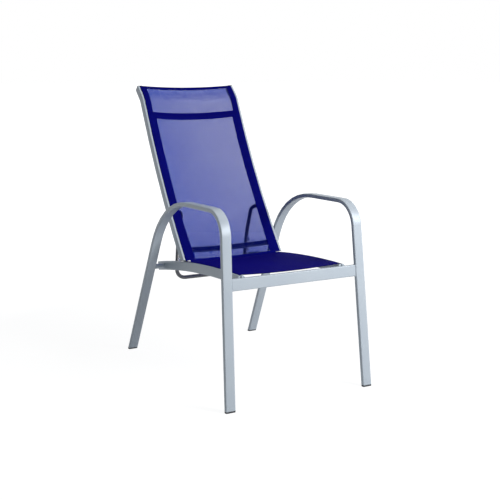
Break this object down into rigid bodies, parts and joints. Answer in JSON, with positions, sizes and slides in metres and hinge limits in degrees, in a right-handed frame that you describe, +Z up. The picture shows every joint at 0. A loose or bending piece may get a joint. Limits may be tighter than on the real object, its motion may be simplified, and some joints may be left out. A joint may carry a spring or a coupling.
{
  "type": "reclining sling patio armchair",
  "caption": "High-back patio armchair: bent flat-tube side frames, sling seat and mesh back that reclines on a hooked hoop.",
  "frame": {"origin": "on the floor, under the middle of the chair's outer box", "axes": "+X to the sitter's left, -Y to the chair's front, +Z up"},
  "size_m": [0.6, 0.9304, 1.0622],
  "materials": {
    "frame_silver": "satin silver powder coat",
    "steel": "zinc plated",
    "hoop_paint": "satin grey powder coat",
    "dark_plastic": "moulded, fine grain",
    "seat_cloth": "close woven coated yarn",
    "back_mesh": "open woven coated mesh"
  },
  "bodies": {
    "frame": {"side_frame_left": "frame_silver", "side_frame_right": "frame_silver", "front_foot_plug_left": "dark_plastic", "front_foot_plug_right": "dark_plastic", "rear_foot_plug_left": "dark_plastic", "rear_foot_plug_right": "dark_plastic", "seat_rail_left": "frame_silver", "seat_rail_right": "frame_silver", "seat_rail_cap_left": "dark_plastic", "seat_rail_cap_right": "dark_plastic", "seat_spline_rod_left": "dark_plastic", "seat_spline_rod_right": "dark_plastic", "rear_spacer_left": "frame_silver", "rear_spacer_right": "frame_silver", "rear_bolt_left": "steel", "rear_bolt_right": "steel", "hinge_bolt_left": "steel", "hinge_bolt_right": "steel", "front_rail": "frame_silver", "seat_sling": "seat_cloth", "catch_bar": "steel"},
    "back": {"back_rail_left": "frame_silver", "back_rail_right": "frame_silver", "back_rail_cap_left": "dark_plastic", "back_rail_cap_right": "dark_plastic", "back_rail_foot_left": "dark_plastic", "back_rail_foot_right": "dark_plastic", "hinge_lug_left": "frame_silver", "hinge_lug_right": "frame_silver", "back_spline_rod_left": "dark_plastic", "back_spline_rod_right": "dark_plastic", "hoop_stub_left": "steel", "hoop_stub_right": "steel", "upper_crossbar": "frame_silver", "lower_crossbar": "frame_silver", "back_sling": "back_mesh"},
    "hoop": {"catch_rack_left": "steel", "catch_rack_right": "steel", "recline_hoop": "hoop_paint"}
  },
  "joints": [
    {"name": "back_recline", "type": "hinge", "parent": "frame", "child": "back", "pos_m": [0, 0.06002, 0.39784], "axis": [-1, 0, 0], "range_deg": [0, 30]},
    {"name": "hoop_swing", "type": "hinge", "parent": "back", "child": "hoop", "pos_m": [0, 0.17256, 0.58645], "axis": [1, 0, 0], "range_deg": [0, 25]}
  ]
}
